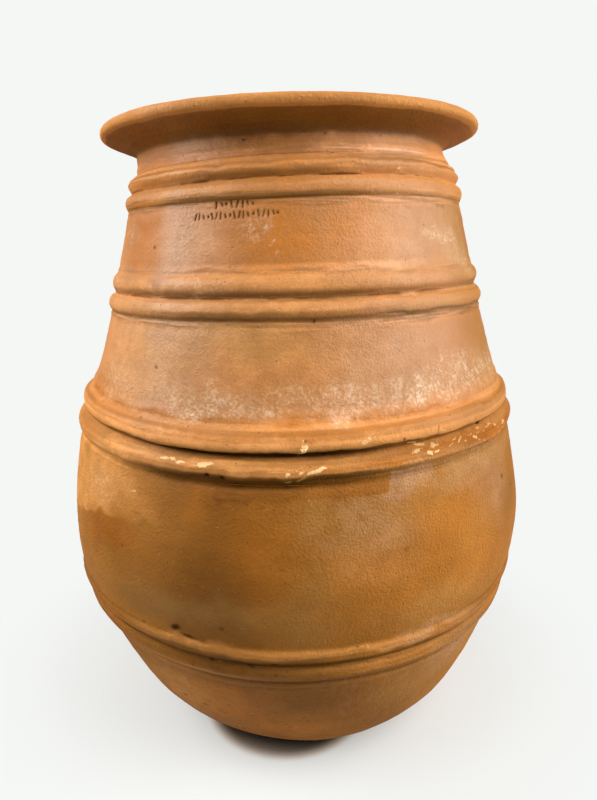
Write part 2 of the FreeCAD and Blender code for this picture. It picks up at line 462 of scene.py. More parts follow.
# throwing grooves under the rim, and tool lines beside the coils: left, right, low, high, strength
under_rim = smooth(846, 862, map_tall) * (map_at[:, None] < wall_length + 60 * MM)
relief += 0.28 * MM * grain(0.9, 0.006, 41) * under_rim
for left, right, low, high, strength in [
    (-180, 180, 842, 848, 0.5), (10, 75, 838, 850, 0.8), (-75, 180, 784, 798, 0.9),
    (-70, 20, 644, 654, 0.8), (20, 80, 646, 660, 1), (-180, -70, 640, 656, 0.6),
    (-20, 30, 640, 650, 0.5), (-60, 60, 470, 478, 0.5), (-180, 180, 516, 544, 0.2),
    (-180, 180, 488, 502, 0.35), (-180, 180, 862, 880, 0.8), (-60, 60, 706, 712, 0.5),
]:
    lay("combed", strength, *block(left, right, low, high, soft=(30, 30, 6, 6)))
relief += 0.22 * MM * grain(0.5, 0.0035, 42) * trace["combed"]

# -------- kiln colour and weathering, with painted light and shade
seen_tall = map_tall + climb(map_tall, map_azimuth[None, :])
# the upper jar is painted paler than the body: paler clay, and painted light standing in for the stronger
# light from above; its dip near 874 mm is painted shade under the rim
trace["upper"] += through({
    0: 0.1, 120: 0, 230: 0.02, 330: 0.02, 470: 0.06, 500: 0.35, 545: 0.72, 600: 1, 690: 0.85,
    760: 0.7, 850: 0.9, 862: 0.6, 874: 0.1, 888: 0.15, 900: 0.35,
}, map_tall)
trace["gloss"] += through({420: 0.25, 560: 0.7, 640: 1, 850: 1, 900: 0.6}, map_tall)
trace["gloss"] *= swing({-180: 0.7, -60: 0.3, -44: 0.4, -34: 1, -20: 1, 20: 0.8, 180: 0.7})

# trace: (softness of the edges, rows of strength in percent, azimuth in degrees from the front, height,
# half width and half height in mm); the trace of painted light and tone is darker where it is minus, else
# paler: painted light and shade, such as the painted highlight at the left of the neck, and darker and paler
# clay
STAINS = {
    "flush": (0.85, [
        (85, -50, 745, 50, 46), (40, -44, 820, 60, 30), (40, -46, 690, 50, 30), (80, -4, 742, 52, 40),
        (55, 14, 750, 40, 34), (50, -34, 700, 30, 8), (60, -56, 556, 60, 22), (70, -52, 541, 90, 10),
        (55, 4, 532, 130, 14), (50, 8, 590, 60, 40), (50, -8, 820, 90, 12), (85, -46, 384, 56, 24),
        (50, -20, 440, 16, 18), (35, -6, 390, 34, 60), (25, 12, 330, 60, 60), (30, 45, 325, 70, 34),
        (25, 34, 395, 60, 40), (70, -48, 262, 60, 14), (50, -50, 230, 60, 30), (50, 57, 255, 40, 30),
        (55, -18, 130, 60, 60), (60, -4, 96, 60, 26), (50, 150, 600, 150, 80), (60, 110, 330, 140, 60),
        (50, -130, 420, 150, 60), (60, -150, 740, 90, 40), (40, 180, 180, 160, 50), (50, 90, 740, 80, 50),
        (40, -100, 620, 90, 50),
    ]),
    "umber": (0.9, [
        (35, 55, 600, 120, 60), (35, 58, 760, 90, 90), (30, 45, 850, 80, 40), (45, 40, 490, 80, 12),
        (85, -10, 470, 120, 9), (40, 18, 472, 60, 8), (35, -22, 440, 60, 40), (25, -16, 400, 60, 50),
        (45, -16, 340, 70, 60), (55, -15, 290, 80, 30), (35, 4, 300, 90, 40), (35, 55, 380, 90, 100),
        (85, -10, 240, 80, 14), (40, 14, 240, 90, 10), (85, -2, 205, 90, 22), (65, 2, 170, 80, 40),
        (45, 16, 110, 70, 50), (40, -44, 246, 60, 14), (30, 20, 60, 120, 30), (45, -32, 300, 70, 14),
        (50, 140, 450, 160, 60), (60, -110, 250, 160, 60), (50, 100, 690, 120, 40),
        (50, -160, 330, 90, 70),
    ]),
    "khaki": (0.9, [
        (60, -14, 634, 90, 26), (40, -30, 620, 60, 40), (50, 12, 430, 60, 36), (45, 30, 300, 90, 24),
        (55, -20, 310, 130, 20), (50, 48, 462, 100, 16), (50, 2, 330, 40, 50), (40, 30, 160, 60, 50),
        (50, 60, 740, 60, 60), (40, 45, 660, 90, 12), (35, 62, 600, 60, 60), (50, 165, 660, 120, 50),
        (50, -90, 330, 90, 60),
    ]),
    # the tan rows at 742 mm on the left of the neck and at 845 and 846 mm on the collar are painted light: a
    # painted highlight, and light painted over the rim's shadow; the rest is tan clay
    "tan": (0.9, [
        (35, -38, 640, 90, 60), (45, -40, 585, 80, 30), (40, 20, 600, 90, 50), (35, 30, 735, 60, 44),
        (45, -32, 742, 36, 34), (40, 48, 745, 60, 40), (45, -34, 846, 50, 10), (35, 26, 845, 80, 14),
        (55, 24, 464, 28, 14), (22, 15, 415, 50, 46), (25, 48, 424, 40, 40), (30, 42, 450, 60, 16),
        (35, 30, 268, 60, 6), (35, 40, 200, 40, 50), (40, 120, 560, 160, 60), (40, -120, 640, 120, 60),
        (30, 170, 330, 160, 60),
    ]),
    # the pale rows at 610 and 150 mm are paler clay; the others lie on the coils' upper faces and on the
    # collar under the rim, and are painted light where those faces catch the light
    "pale": (0.8, [
        (55, -40, 690, 90, 9), (50, -30, 800, 70, 10), (45, -34, 826, 70, 7), (45, -38, 662, 90, 9),
        (35, -40, 610, 110, 50), (30, -10, 610, 80, 40), (45, 0, 694, 110, 8), (35, 0, 670, 90, 6),
        (45, 2, 519, 120, 7), (35, -30, 519, 90, 7), (50, -16, 495, 70, 6), (60, -40, 494, 60, 8),
        (25, -35, 150, 60, 70), (35, -22, 262, 30, 5), (35, 14, 262, 60, 4), (40, 0, 846, 90, 9),
    ]),
    "haze": (0.8, [
        (35, -52, 566, 50, 20), (60, -18, 560, 90, 15), (60, 10, 566, 70, 18), (55, 31, 566, 80, 20),
        (65, 46, 573, 62, 14), (60, 62, 570, 50, 16), (35, -9, 757, 22, 10), (40, 46, 746, 46, 6),
        (30, 58, 715, 30, 20), (35, -60, 752, 24, 16), (30, -30, 690, 60, 6), (25, -45, 440, 40, 20),
        (30, 42, 590, 80, 10), (25, -60, 700, 20, 30), (70, 110, 565, 160, 18), (60, -110, 560, 160, 16),
        (60, 170, 570, 200, 18),
    ]),
    "slip": (0.5, [
        (100, -24, 498, 36, 4.5), (90, -17, 490, 14, 7), (90, -1, 496, 9, 6), (100, 3, 489, 14, 4.5),
        (60, 0, 519, 8, 9), (40, 13, 517, 30, 3), (80, 27, 502, 20, 2.4), (80, 35, 504, 24, 2.6),
        (70, 48, 505, 30, 3.5), (70, 38, 493, 12, 4), (60, 57, 502, 20, 4), (35, -33, 498, 26, 5),
        (50, 26, 494, 40, 3), (45, 52, 493, 30, 3), (60, 118, 497, 60, 5), (60, -150, 495, 70, 5),
        (50, 170, 503, 50, 4),
    ]),
    "red": (0.6, [
        (100, 46, 498, 120, 10), (50, 20, 493, 40, 8), (55, 42, 538, 160, 2), (45, -52, 543, 110, 2),
        (50, 57, 262, 36, 10), (60, 62, 250, 50, 16), (50, 0, 66, 130, 3), (35, -60, 500, 60, 10),
        (40, 130, 500, 160, 8), (35, -50, 770, 40, 10), (30, -45, 845, 40, 12),
    ]),
    "shade": (0.9, [
        (12, -2, 562, 160, 16), (4, -42, 745, 60, 44), (20, -24, 740, 26, 40), (12, 2, 740, 70, 36),
        (-12, -54, 740, 26, 44), (13, 8, 410, 130, 80), (20, -38, 440, 36, 30), (12, -15, 592, 30, 18),
        (-12, -2, 582, 30, 18), (-18, -42, 372, 70, 40), (-15, -18, 320, 60, 50), (12, 2, 615, 90, 50),
        (10, 22, 745, 60, 44), (-25, -46, 385, 44, 22), (-12, -38, 330, 50, 40), (15, 30, 320, 70, 60),
        (-20, -50, 170, 60, 60), (-25, -34, 200, 70, 24), (12, -14, 785, 40, 8), (-15, -30, 800, 26, 12),
    ]),
}
for label, (edge, rows) in STAINS.items():
    for percent, *spot in rows:
        stain(label, percent / 100, *spot, edge=edge)

# a thinner, lighter skin of clay on the left of the belly that stops at a ragged line
lower_edge = swing({-64: 385, -56: 389, -51: 399, -47: 412, -34: 414, 180: 400})
ragged = 5 * grain(0.05, 0.05, 51) + 2.5 * grain(0.012, 0.012, 52)
light_skin = smooth(-3, 3, seen_tall - lower_edge + ragged)
light_skin *= 1 - smooth(-44, -31, map_azimuth[None, :] + 2.5 * grain(0.05, 0.05, 54))
light_skin *= smooth(-100, -75, map_azimuth)[None, :] * (1 - smooth(476, 490, seen_tall))
lay("pale", 0.5, WHOLE_MAP, light_skin * (0.75 + 0.25 * smooth(-1, 1, grain(0.03, 0.03, 53))))
lay("shade", 0.1, WHOLE_MAP, light_skin)
relief += 0.25 * MM * light_skin

# a darker strip of slip left under the belly coil, cut off square on the right
rows, strip = block(-24, 18.5, 457, 478, soft=(70, 1.4, 1.6, 6), stray=0.2)
for label in ("khaki", "tan"):
    trace[label][rows] *= 1 - strip
lay("umber", 0.32, rows, strip)
lay("flush", 0.22, rows, strip)
relief[rows] += 0.35 * MM * strip
lay("tan", 0.55, *block(18.5, 28, 462, 479, soft=(1.4, 24, 12, 6)))

# lime bloom ran down in streaks, and drops of rain washed clean ones: azimuth, heights, strength in percent
for azimuth, low, high, percent in [
    (7, 552, 578, 50), (12, 548, 588, 60), (17, 550, 586, 60), (22, 546, 584, 60), (28, 548, 586, 70),
    (33, 548, 584, 60), (37, 550, 588, 60), (52, 555, 590, 50), (-10, 552, 572, 40), (0, 548, 574, 40),
]:
    streak = block(azimuth - 1.1, azimuth + 1.1, low, high, soft=(7, 7, 12, 14), stray=0.5)
    lay("haze", percent / 100, *streak)
for azimuth, low, high in [
    (24.5, 548, 582), (37.8, 545, 576), (-4, 550, 570), (9.8, 556, 584), (60, 560, 590),
]:
    rows, mask = block(azimuth - 0.4, azimuth + 0.4, low, high, soft=(4, 4, 10, 10), stray=0.5)
    trace["haze"][rows] *= 1 - 0.7 * mask
    lay("umber", 0.25, rows, mask)
# where bloom and dirt are drawn out into fine runs: left, right, low, high, strength
for left, right, low, high, strength in [
    (5, 62, 545, 590, 0.9), (-40, 5, 548, 580, 0.5), (6, 48, 90, 222, 1), (-70, 70, 700, 780, 0.25),
    (70, 290, 545, 590, 0.8), (90, 250, 100, 220, 0.7), (20, 60, 470, 486, 0.6),
]:
    lay("streaky", strength, *block(left, right, low, high, soft=(60, 60, 14, 14), stray=0.5))

# slip smeared and dropped on the belly coil while it was wet, broken into curls and, on the right, flecks
curls = broken(-0.1, 0.5, 0.01, 0.0035, 31)
flecks = broken(-0.3, 0.4, 0.02, 0.004, 32)
trace["slip"] *= 0.12 + 0.88 * curls * (1 - smooth(15, 25, map_azimuth)[None, :] * (1 - flecks))
for low, high in [(498, 504), (488, 494)]:
    for step in range(11):
        strength, azimuth = chance.uniform(0.6, 1), 25 + 3.2 * step + chance.uniform(-1.2, 1.2)
        drop = chance.uniform(low, high), chance.uniform(2, 7), chance.uniform(1, 2.2)
        stain("slip", strength, azimuth, *drop, edge=0.5, tilt=chance.uniform(-0.1, 0.5))
relief += 0.35 * MM * trace["slip"]

# -------- damage, pits and marks
# chips: depth in mm, darkness in percent, azimuth, height, half width and half height
for depth, percent, *spot in [
    (-0.5, 100, -25, 279, 7, 5), (0.3, 90, -22.5, 271, 9, 2.5), (1.2, 100, -17.5, 479, 3, 2.2),
    (1.2, 90, -14, 479, 3.4, 2.2), (2.5, 100, 46.5, 511, 5, 2.4), (0.2, 20, -14, 246, 30, 5),
    (0.6, 70, -18, 240, 4, 3), (0.6, 80, 54, 426, 3, 2.6), (0.4, 70, 21, 384, 2, 4),
    (0.5, 60, 60, 400, 3, 2), (0.5, 80, 4, 654, 1.4, 3), (0.5, 70, -36, 592, 3, 1.8),
    (0.5, 70, -34, 274, 3, 2), (0.6, 80, -33.5, 122, 4, 2.4), (0.6, 70, -27, 122, 5, 2.4),
    (0.5, 70, -43.5, 741, 2, 2), (0.5, 60, -10, 240, 5, 2.5), (0.8, 60, -5, 246, 6, 2.5),
    (0.5, 80, 11, 866, 1.4, 1.2), (0.5, 80, -13, 872, 2, 1.2), (0.5, 70, 4, 876, 2, 1.2),
    (0.5, 60, 29, 865, 1.6, 1.2), (0.4, 50, 40, 206, 6, 2), (0.3, 60, -15, 290, 3, 3),
    (0.6, 70, -39, 373, 2, 2),
]:
    press(depth, *spot, edge=0.6, stray=0.4)
    stain("soot", percent / 100, *spot, edge=0.6, stray=0.4)
# pinholes and specks all over, then short strokes low on the front
for number in range(520):
    azimuth, height = chance.uniform(-180, 180), 30 + 860 * chance.random() ** 1.3
    size = 0.7 + 1.3 * chance.random() ** 3
    if height < 868:
        stain("soot", chance.uniform(0.3, 0.8), azimuth, height, size, size, stray=0.2)
        press(0.5 * size, azimuth, height, size, size, stray=0.2)
for number in range(90):
    azimuth, height = chance.uniform(-40, 15), chance.uniform(60, 200)
    scratch(azimuth, height, chance.uniform(4, 9), chance.uniform(0.2, 1.2), 0.35, "soot", 0.5, width=0.8)
# pale scratches: azimuth, height, length, slope; then dark gouges, with their depth in mm as well
for azimuth, height, length, slope in [
    (-12, 762, 9, 0.2), (-8, 757, 12, 0.9), (-10, 746, 8, -0.5), (-6, 741, 10, 1.4), (-5, 730, 12, 4),
    (43, 759, 10, 0.1), (50, 742, 30, -0.05), (56, 744, 24, 0.2), (47, 738, 18, 0.1), (57, 745, 14, 6),
    (-36, 445, 16, 0), (2, 766, 8, 1), (14, 812, 6, 0.3), (32, 825, 9, -0.2), (-16, 240, 8, 0.6),
    (54, 260, 30, 0.5), (47, 262, 16, 0.8), (60, 268, 14, -0.6),
]:
    scratch(azimuth, height, length, slope, 0.1, "haze", 0.8)
for azimuth, height, length, slope, depth in [
    (31, 518, 12, 9, 1.4), (48, 263, 30, 0.35, 0.8), (55, 259, 26, 0.6, 0.7), (58, 252, 22, -0.3, 0.7),
    (51, 256, 14, 0.9, 0.6), (44, 267, 18, 0.1, 0.6), (-12, 243, 40, 0.12, 0.7), (-8, 237, 30, 0.1, 0.5),
    (-32, 660, 40, 0.05, 0.4), (33, 780, 12, -0.4, 0.3), (28, 600, 26, -0.8, 0.2),
]:
    scratch(azimuth, height, length, slope, depth, "umber", 0.9)
# flats pressed into the lowest pair of coils
press(1.4, 54, 264, 60, 8, edge=0.8)
press(1.4, -52, 268, 60, 8, edge=0.8)
press(0.8, -50, 226, 60, 12, edge=0.7)

# the seam between the two belly coils was never closed: a deep crack across the front, painted near black
# inside as painted shade
SEAM = 510.5              # its height in mm
gap = (map_at[:, None] + 0.15 * stray_along - skin_length(SEAM * MM)) / MM
wide = swing({-50: 0.9, -22: 2.2, 4: 2.6, 14: 1.5, 40: 0.9})
deep = swing({-50: 0.3, -34: 0.5, -20: 1, 8: 1, 22: 0.45, 60: 0.3})
open_seam = np.exp(-(gap / wide) ** 2) * deep
relief -= 2.4 * MM * open_seam
lay("soot", 0.85, WHOLE_MAP, open_seam)
# painted shade on the clay just below the crack
shade_below_seam = np.exp(-((gap + 4.5) / 3) ** 2) * swing({-38: 0, -22: 1, 6: 1, 22: 0})
lay("shade", -0.9, WHOLE_MAP, shade_below_seam)

# two short rows of plain nicks punched in the neck, bars and dots that spell nothing: (half height and half
# width in mm, lean); a row has its first and last azimuth, the degrees between nicks, and its height
NICKS = [(4.4, 1.5, 0), (1.7, 1.8, 0), (4.4, 1.5, 0.25), (2.8, 1.6, -0.3), (4.4, 1.5, -0.2)]
for first, last, pitch, height in [(-21.5, -8.5, 1.5, 785), (-28, -2.2, 1.32, 772.5)]:
    for number in range(int((last - first) / pitch)):
        upright, width, lean = NICKS[(number * 3 + int(height)) % len(NICKS)]
        azimuth = first + pitch * (number + chance.uniform(-0.12, 0.12))
        level = height + 0.09 * (azimuth - first) + chance.uniform(-0.5, 0.5)
        rows = skin_window(level, 30)
        across, along = offsets(azimuth, level, rows, 0.04)
        across = across - lean * along
        bar = 1 - smooth(0.5, 1.5, np.abs(across) / width * 1.5)
        bar *= 1 - smooth(0.75, 1.25, np.abs(along) / upright)
        relief[rows] -= 1 * MM * bar
        # the nicks are painted dark, and darker towards the left: painted shade
        lay("soot", 1.25 - 0.45 * (azimuth + 28) / 26, rows, bar)

# -------- painted shade and grime in hollows and on faces turned down, painted light and wear on crests and faces turned up
broad = blurred(skin_raw, 9 * MM)
stand = np.sum((skin - broad) * skin_normal, axis=1)
stand = np.interp(map_at, skin_at, stand)[:, None] + 0.6 * (relief - relief.mean())
broad_normal = blurred(skin_normal, 16 * MM)
facing_up = np.interp(map_at, skin_at, skin_normal[:, 1] - broad_normal[:, 1])[:, None]
trace["hollow"] = np.maximum(smooth(0.9 * MM, 4 * MM, -stand), 0.9 * smooth(0.16, 0.65, -facing_up))
trace["hollow"] *= (map_at < wall_length + 40 * MM)[:, None]
trace["hollow"] *= swing({-70: 0.6, -45: 0.75, -20: 1, 8: 1, 26: 0.6, 50: 0.35, 90: 0.5, 180: 0.6})
trace["crest"] = np.maximum(0.6 * smooth(0.3 * MM, 2 * MM, stand), smooth(0.06, 0.45, facing_up))

# bands painted darker (minus) or paler: painted shade on the coils' undersides, in the grooves and under the
# rim, and painted light on the coils' lit tops and the lip; low and high, softness of each, {azimuth:
# percent}
for band in [
    (198, 210, 5, 5, {-20: 10, 0: 20, 20: 20, 45: 10}),
    (210, 226, 6, 4, {-45: -30, -20: -15, 0: -35, 20: -35, 45: -15}),
    (226, 240, 4, 4, {-45: -45, -20: -65, 0: -35, 20: 15, 45: -40}),
    (240, 259, 4, 4, {-60: -35, -20: -45, 0: -50, 20: -15, 45: -30, 60: -35}),
    (222, 232, 4, 4, {-60: 0, -38: 10, -22: 25, 0: 0, 22: 10, 34: 25, 48: 0}),
    (250, 261, 4, 4, {-60: 20, -26: 0, -14: 35, -2: 15, 10: 40, 22: 15, 34: 38, 48: 20}),
    (260, 273, 3, 5, {-45: -50, -26: 5, 0: 20, 20: 10, 38: -20, 46: -50, 60: -45}),
    (472, 480, 5, 3, {-44: 40, -22: -40, 8: -40, 20: 10, 40: 0}),
    (479, 487, 3, 3, {-44: 10, -22: -60, 8: -85, 20: -20, 40: 0}),
    (490, 508, 6, 3, {-60: -5, 8: 0, 20: -22, 40: -30, 60: -25}),
    (515, 530, 5, 5, {-60: 25, -45: 30, -22: 45, 0: 30, 20: 10, 45: -10}),
    (512, 523, 4, 4, {-60: 30, -45: 35, -20: 35, 0: 30, 20: 40, 45: 35}),
    (487, 498, 3, 6, {-20: 30, 0: 35, 20: 45, 30: 35, 45: 0, 60: 10}),
    (530, 540, 5, 5, {-20: 0, 0: -12, 20: 5, 45: 0}),
    (537, 546, 4, 4, {-45: 15, -20: 25, 0: 65, 20: 35, 45: 20, 60: 10}),
    (546, 556, 4, 8, {-60: 5, -45: 6, -20: 4, 0: 15, 20: 24, 45: 15}),
    (640, 650, 8, 5, {-60: 0, -20: 15, 0: 35, 25: 30, 45: 10, 60: 0}),
    (650, 706, 5, 5, {-60: 0, -45: -12, -25: 5, 0: 10, 20: -5, 45: -8}),
    (654, 663, 4, 4, {-60: 0, -40: -15, -24: -70, 4: -50, 20: -15, 60: 0}),
    (674, 680, 4, 4, {-60: 10, -45: 30, -24: -10, 4: -30, 20: 10, 60: 0}),
    (706, 716, 4, 5, {-60: 0, -30: 10, -10: 25, 20: 25, 45: 5}),
    (778, 791, 8, 4, {8: 0, 20: 30, 50: 25, 60: 20}),
    (791, 838, 5, 5, {-45: -5, -25: 0, 0: 8, 15: 0, 45: 0, 60: 10}),
    (791, 797, 3, 4, {-60: 30, -45: 40, -25: 10, 0: 0, 20: 5, 45: 30}),
    (806, 812, 3, 2, {-60: -10, -20: -15, 0: -25, 20: 0}),
    (814, 822, 4, 4, {-60: 50, -45: 60, -20: 35, 0: 45, 20: 60, 45: 35, 60: 30}),
    (822, 829, 3, 3, {-60: 0, -20: 10, 0: 15, 20: 0}),
    (827, 834, 3, 3, {-45: -20, -20: 0, 0: 0, 20: -10, 45: -25}),
    (835, 848, 4, 4, {-60: 20, -45: 25, -20: 35, 0: 10, 20: 25, 45: 20}),
    (838, 860, 6, 4, {-60: -5, -20: 5, 0: 10, 14: 25, 30: 40, 45: 30, 60: 40}),
    (862, 911, 6, 1.5, {-60: -50, 0: -70, 25: -75, 50: -55, 80: -40}),
    (917, 934, 2, 8, {-60: 20, -45: 30, -20: 30, 0: 35, 20: 15, 45: 5}),
]:
    lay("shade", 0.01, *belt(*band))
fade = smooth(0, 8 * MM, map_at) * smooth(0, 12 * MM, map_at[-1] - map_at)
relief *= fade[:, None]


# -------- pieces
FINE_RINGS = ["neck_wall", "collar_wall"]   # carry small marks, so their rows stand closer
FINE_STEP, WALL_STEP, COIL_STEP, LUTE_STEP, LINING_STEP = 1.25 * MM, 2 * MM, 1.2 * MM, 0.4 * MM, 8 * MM
QUAD_BUDGET = 97000       # faces of one piece, at most
MOST_COLUMNS = 1440
BACK_SHARE = 0.45         # how closely the back's columns stand, beside the front's
ON_SKIN = 0.08 * MM       # an outline point this close to the skin is part of it
OUTER, INNER, HIDDEN = 0, 1, 2


def placed(name, data):
    """A new object in the scene."""
    made = bpy.data.objects.new(name, data)
    bpy.context.scene.collection.objects.link(made)
    return made


def column_azimuths(columns):
    """Azimuths of a mesh's columns, closest together on the front."""
    fine = np.arange(-180, 180.01, 0.5)
    weight = 1 - (1 - BACK_SHARE) * smooth(70, 100, np.abs(fine))
    gathered = np.concatenate([[0], np.cumsum((weight[1:] + weight[:-1]) / 2)])
    return np.interp(np.arange(columns) / columns * gathered[-1], gathered, fine)


def nearest(line, line_at, rows):
    """Length along a line nearest each row, and how far off it is."""
    gaps = np.hypot(rows[:, None, 0] - line[None, :, 0], rows[:, None, 1] - line[None, :, 1])
    best = gaps.argmin(axis=1)
    return line_at[best], gaps[np.arange(len(rows)), best]


def mesh_rows(name, step):
    """Kind, length along skin or lining, and (radius, height) of every row of a piece's mesh, in order."""
    rows = outlines[name]
    skin_s, skin_gap = nearest(skin_raw, skin_at, rows)
    line_s, line_gap = nearest(lining, lining_at, rows)
    reach = SKIN_STEP * 0.5 + ON_SKIN
    kinds = np.where(skin_gap < reach, OUTER, np.where(line_gap < reach, INNER, HIDDEN))
    if name != "base_slab":
        start = np.flatnonzero((kinds != np.roll(kinds, 1)) & (kinds == OUTER))[0]
        turned = (np.roll(each, -start, axis=0) for each in (rows, kinds, skin_s, line_s))
        rows, kinds, skin_s, line_s = turned
    made = []
    for run in np.split(np.arange(len(rows)), np.flatnonzero(np.diff(kinds)) + 1):
        kind = kinds[run[0]]
        if kind == HIDDEN or len(run) == 1:
            made += [(HIDDEN, 0, *rows[i]) for i in run]
            continue
        line, line_at, along, pace = {
            OUTER: (skin, skin_at, skin_s, step), INNER: (lining, lining_at, line_s, LINING_STEP),
        }[kind]
        first, last = along[run[0]], along[run[-1]]
        lengths = np.linspace(first, last, max(3, int(math.ceil(abs(last - first) / pace)) + 1))
        spots = at_length(line, line_at, lengths)
        made += [(kind, length, *spot) for length, spot in zip(lengths, spots)]
    made = np.array(made)
    return made[:, 0].astype(int), made[:, 1], made[:, 2:]


def sampled(field, lengths, azimuths):
    """A map field at every length along the skin (rows) and azimuth (columns)."""
    u = np.clip(lengths / MAP_STEP, 0, MAP_SHAPE[0] - 1.001)
    v = (azimuths + 180) / MAP_TURN
    i, j = np.floor(u).astype(int), np.floor(v).astype(int)
    fu, fv = (u - i)[:, None], (v - j)[None, :]
    j, j_next = j % MAP_SHAPE[1], (j + 1) % MAP_SHAPE[1]
    low, high = (field[row][:, j] * (1 - fv) + field[row][:, j_next] * fv for row in (i, i + 1))
    return low * (1 - fu) + high * fu


def lining_relief(lengths, azimuths):
    """Throwing rings on the inside wall, a slow spiral, fading out at the mouth land."""
    rise = lengths[:, None] / (17 * MM) + azimuths[None, :] / 360
    uneven = 0.6 + 0.4 * np.sin(lengths[:, None] / (61 * MM) + np.radians(azimuths[None, :]))
    return 0.9 * MM * np.sin(2 * math.pi * rise) * uneven * smooth(0, 40 * MM, lengths)[:, None]


def faces_of(count, columns, capped):
    """(corners, sizes) of the faces between count rings of columns points, or of a skin with two poles."""
    j = np.arange(columns)
    j_next = (j + 1) % columns
    spans = count - 1 if capped else count
    i = np.arange(spans)[:, None]
    below, above = i * columns, (i + 1) % count * columns
    quads = np.stack([below + j, below + j_next, above + j_next, above + j], axis=-1)
    corners, sizes = [quads.reshape(-1)], [np.full(spans * columns, 4)]
    if capped:
        pole = np.full(columns, count * columns)
        top = (count - 1) * columns
        corners.append(np.stack([pole, j_next, j], axis=-1).reshape(-1))
        corners.append(np.stack([pole + 1, top + j, top + j_next], axis=-1).reshape(-1))
        sizes += [np.full(columns, 3)] * 2
    return np.concatenate(corners), np.concatenate(sizes)


def ring_mesh(name, kinds, lengths, spots, columns):
    """Closed mesh of a turned piece, with its creases marked sharp and the traces as attributes."""
    azimuths = column_azimuths(columns)
    outer, inner = kinds == OUTER, kinds == INNER
    push = np.zeros((len(kinds), columns))
    aim = np.zeros((len(kinds), 2))
    push[outer] = sampled(relief, lengths[outer], azimuths)
    aim[outer] = at_length(skin_normal, skin_at, lengths[outer])
    push[inner] = lining_relief(lengths[inner], azimuths)
    aim[inner] = at_length(lining_normal, lining_at, lengths[inner])
    radius, height = (spots[:, i, None] + aim[:, i, None] * push for i in (0, 1))
    places = warp(radius, height, azimuths[None, :])
    on_axis = spots[:, 0] < 1e-6
    ring, poles = np.flatnonzero(~on_axis), np.flatnonzero(on_axis)
    verts = np.concatenate([places[ring].reshape(-1, 3), places[poles].mean(axis=1)])
    corners, sizes = faces_of(len(ring), columns, len(poles) > 0)

    mesh = bpy.data.meshes.new(name)
    mesh.vertices.add(len(verts))
    mesh.vertices.foreach_set("co", verts.astype(np.float32).ravel())
    mesh.loops.add(len(corners))
    mesh.loops.foreach_set("vertex_index", corners.astype(np.int32))
    mesh.polygons.add(len(sizes))
    starts = np.concatenate([[0], np.cumsum(sizes)[:-1]])
    mesh.polygons.foreach_set("loop_start", starts.astype(np.int32))
    mesh.update(calc_edges=True)
    mesh.polygons.foreach_set("use_smooth", np.ones(len(sizes), bool))

    ring_kinds = kinds[ring]
    crease = (ring_kinds != np.roll(ring_kinds, 1)) | (ring_kinds != np.roll(ring_kinds, -1))
    crease |= ring_kinds == HIDDEN
    ends = np.zeros(len(mesh.edges) * 2, np.int32)
    mesh.edges.foreach_get("vertices", ends)
    row = ends.reshape(-1, 2) // columns
    sharp = (row[:, 0] == row[:, 1]) & crease[np.minimum(row[:, 0], len(ring) - 1)]
    mesh.attributes.new("sharp_edge", "BOOLEAN", "EDGE").data.foreach_set("value", sharp)

    def carry(label, values, at_poles):
        values = np.concatenate([values[ring].ravel(), np.full(len(poles), at_poles)]).astype(np.float32)
        mesh.attributes.new(label, "FLOAT", "POINT").data.foreach_set("value", values)

    for label, field in trace.items():
        values = np.zeros((len(kinds), columns))
        values[outer] = sampled(field, lengths[outer], azimuths)
        carry(label, values, 0)
    carry("inside", np.repeat(inner[:, None], columns, axis=1), 1)
    return mesh


def piece(name, material, step):
    """One visible piece in place of the CAD node of the same name."""
    kinds, lengths, spots = mesh_rows(name, step)
    columns = min(MOST_COLUMNS, QUAD_BUDGET // len(kinds) // 2 * 2)
    mesh = ring_mesh(name, kinds, lengths, spots, columns)
    mesh.materials.append(material)
    made = placed(name + "_clay", mesh)
    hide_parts(name)
    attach(made, "root")


# -------- materials
class Value:
    """A number in a node tree; sums, differences and products of values add the nodes that work them out."""

    def __init__(self, graph, socket):
        self.graph, self.socket = graph, socket

    def __add__(self, other):
        return self.graph.maths("ADD", self, other)

    def __sub__(self, other):
        return self.graph.maths("SUBTRACT", self, other)

    def __rsub__(self, other):
        return self.graph.maths("SUBTRACT", other, self)

    def __mul__(self, other):
        return self.graph.maths("MULTIPLY", self, other)

    __radd__, __rmul__ = __add__, __mul__

    def held(self):
        """The same value held between 0 and 1."""
        self.socket.node.use_clamp = True
        return self

    def ramp(self, low, high, to_low=0, to_high=1):
        """Eased from to_low, where this value is low, to to_high."""
        made = self.graph.node("MapRange", {"interpolation_type": "SMOOTHSTEP"})
        for place, item in enumerate((self, low, high, to_low, to_high)):
            self.graph.feed(made.inputs[place], item)
        return Value(self.graph, made.outputs[0])


